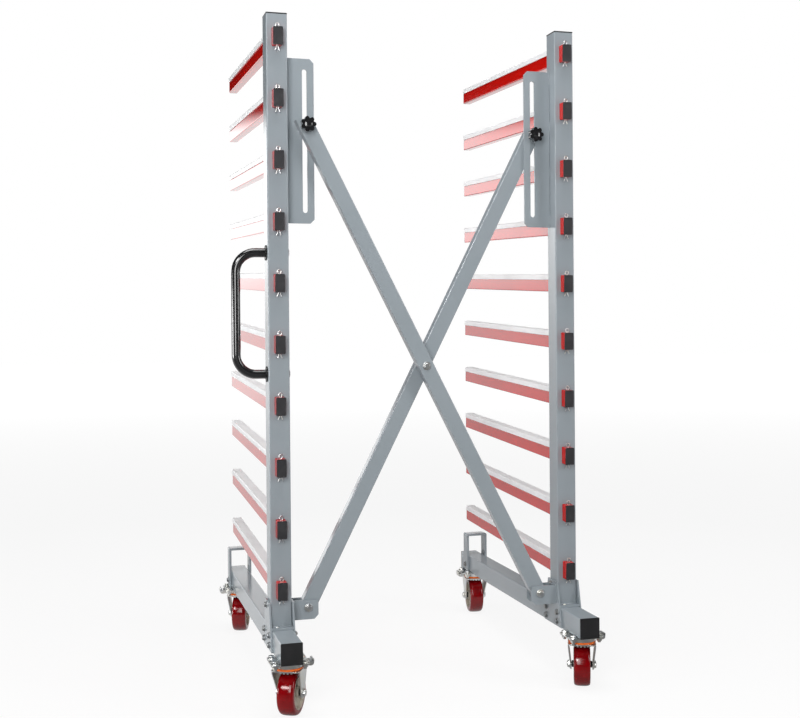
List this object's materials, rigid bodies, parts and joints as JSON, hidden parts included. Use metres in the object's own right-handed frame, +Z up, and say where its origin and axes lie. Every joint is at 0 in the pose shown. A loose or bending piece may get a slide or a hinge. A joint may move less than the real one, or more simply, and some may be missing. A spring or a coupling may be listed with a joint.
{
  "type": "sheet goods cart",
  "caption": "Mobile rack with paired cantilever arms on two wheeled uprights, tied by a scissor brace in slotted plates, carrying sheets flat at an adjustable width.",
  "frame": {"origin": "on the floor, at the middle of the cart's footprint", "axes": "+Z up, -Y towards the front with the arm stubs and knobs, +X to the right seen from the front"},
  "size_m": [1.0694, 1.07, 1.9437],
  "materials": {
    "grey_paint": "semi-gloss grey powder coat",
    "red_paint": "glossy red powder coat",
    "black_plastic": "satin black moulded plastic",
    "zinc": "bright zinc plate",
    "red_tread": "glossy dark red polyurethane"
  },
  "bodies": {
    "left_frame": {"left_upright": "grey_paint", "left_upright_cap": "black_plastic", "left_base_tube": "grey_paint", "left_base_front_cap": "black_plastic", "left_base_rear_cap": "black_plastic", "left_foot_bracket": "grey_paint", "left_slot_plate": "grey_paint", "left_rear_hoop": "grey_paint", "left_arm_01": "red_paint", "left_arm_02": "red_paint", "left_arm_03": "red_paint", "left_arm_04": "red_paint", "left_arm_05": "red_paint", "left_arm_06": "red_paint", "left_arm_07": "red_paint", "left_arm_08": "red_paint", "left_arm_09": "red_paint", "left_arm_10": "red_paint", "push_handle": "black_plastic", "left_foot_bolt": "zinc", "left_front_caster_plate": "zinc", "left_rear_caster_plate": "zinc"},
    "right_frame": {"right_upright": "grey_paint", "right_upright_cap": "black_plastic", "right_base_tube": "grey_paint", "right_base_front_cap": "black_plastic", "right_base_rear_cap": "black_plastic", "right_foot_bracket": "grey_paint", "right_slot_plate": "grey_paint", "right_rear_hoop": "grey_paint", "right_arm_01": "red_paint", "right_arm_02": "red_paint", "right_arm_03": "red_paint", "right_arm_04": "red_paint", "right_arm_05": "red_paint", "right_arm_06": "red_paint", "right_arm_07": "red_paint", "right_arm_08": "red_paint", "right_arm_09": "red_paint", "right_arm_10": "red_paint", "right_foot_bolt": "zinc", "right_front_caster_plate": "zinc", "right_rear_caster_plate": "zinc"},
    "rear_bar": {"rear_brace_bar": "grey_paint", "cross_bolt": "zinc"},
    "front_bar": {"front_brace_bar": "grey_paint"},
    "left_knob": {"left_star_knob": "black_plastic"},
    "right_knob": {"right_star_knob": "black_plastic"},
    "left_front_fork": {"left_front_caster_fork": "zinc"},
    "left_rear_fork": {"left_rear_caster_fork": "zinc"},
    "right_front_fork": {"right_front_caster_fork": "zinc"},
    "right_rear_fork": {"right_rear_caster_fork": "zinc"},
    "left_front_tread": {"left_front_wheel": "red_tread"},
    "left_rear_tread": {"left_rear_wheel": "red_tread"},
    "right_front_tread": {"right_front_wheel": "red_tread"},
    "right_rear_tread": {"right_rear_wheel": "red_tread"},
    "left_front_lever": {"left_front_swivel_lock": "zinc"},
    "left_rear_lever": {"left_rear_swivel_lock": "zinc"},
    "right_front_lever": {"right_front_swivel_lock": "zinc"},
    "right_rear_lever": {"right_rear_swivel_lock": "zinc"}
  },
  "joints": [
    {"name": "brace_fold", "type": "hinge", "parent": "left_frame", "child": "rear_bar", "pos_m": [-0.31935, -0.3152, 0.2593], "axis": [0, 1, 0], "range_deg": [-20, 15.5]},
    {"name": "brace_cross", "type": "hinge", "parent": "rear_bar", "child": "front_bar", "pos_m": [0.02965, -0.3347, 0.9458], "axis": [0, 1, 0], "range_deg": [-32, 41]},
    {"name": "right_foot_pivot", "type": "hinge", "parent": "front_bar", "child": "right_frame", "pos_m": [0.37865, -0.35419, 0.2593], "axis": [0, 1, 0], "range_deg": [-20.5, 16]},
    {"name": "left_knob_turn", "type": "hinge", "parent": "front_bar", "child": "left_knob", "pos_m": [-0.31935, -0.35919, 1.6323], "axis": [0, 1, 0], "continuous": true},
    {"name": "right_knob_turn", "type": "hinge", "parent": "rear_bar", "child": "right_knob", "pos_m": [0.37865, -0.3272, 1.6323], "axis": [0, 1, 0], "continuous": true},
    {"name": "left_front_swivel", "type": "hinge", "parent": "left_frame", "child": "left_front_fork", "pos_m": [-0.40535, -0.47819, 0.14], "axis": [0, 0, 1], "continuous": true},
    {"name": "left_rear_swivel", "type": "hinge", "parent": "left_frame", "child": "left_rear_fork", "pos_m": [-0.40535, 0.44781, 0.14], "axis": [0, 0, 1], "continuous": true},
    {"name": "right_front_swivel", "type": "hinge", "parent": "right_frame", "child": "right_front_fork", "pos_m": [0.46465, -0.47819, 0.14], "axis": [0, 0, 1], "continuous": true},
    {"name": "right_rear_swivel", "type": "hinge", "parent": "right_frame", "child": "right_rear_fork", "pos_m": [0.46465, 0.44781, 0.14], "axis": [0, 0, 1], "continuous": true},
    {"name": "left_front_roll", "type": "hinge", "parent": "left_front_fork", "child": "left_front_tread", "pos_m": [-0.39371, -0.4572, 0.0625], "axis": [0.8746, -0.4848, 0], "continuous": true},
    {"name": "left_rear_roll", "type": "hinge", "parent": "left_rear_fork", "child": "left_rear_tread", "pos_m": [-0.39833, 0.47076, 0.0625], "axis": [0.9563, -0.2924, 0], "continuous": true},
    {"name": "right_front_roll", "type": "hinge", "parent": "right_front_fork", "child": "right_front_tread", "pos_m": [0.47441, -0.45627, 0.0625], "axis": [0.9135, -0.4067, 0], "continuous": true},
    {"name": "right_rear_roll", "type": "hinge", "parent": "right_rear_fork", "child": "right_rear_tread", "pos_m": [0.46799, 0.47157, 0.0625], "axis": [0.9903, -0.1392, 0], "continuous": true},
    {"name": "left_front_lock", "type": "hinge", "parent": "left_frame", "child": "left_front_lever", "pos_m": [-0.34335, -0.47819, 0.147], "axis": [0, 1, 0], "range_deg": [0, 14]},
    {"name": "left_rear_lock", "type": "hinge", "parent": "left_frame", "child": "left_rear_lever", "pos_m": [-0.46735, 0.44781, 0.147], "axis": [0, -1, 0], "range_deg": [0, 14]},
    {"name": "right_front_lock", "type": "hinge", "parent": "right_frame", "child": "right_front_lever", "pos_m": [0.52665, -0.47819, 0.147], "axis": [0, 1, 0], "range_deg": [0, 14]},
    {"name": "right_rear_lock", "type": "hinge", "parent": "right_frame", "child": "right_rear_lever", "pos_m": [0.40265, 0.44781, 0.147], "axis": [0, -1, 0], "range_deg": [0, 14]}
  ],
  "couplings": [
    {"joint": "brace_cross", "follows": "brace_fold", "ratio": -2},
    {"joint": "right_foot_pivot", "follows": "brace_fold", "ratio": 1}
  ]
}
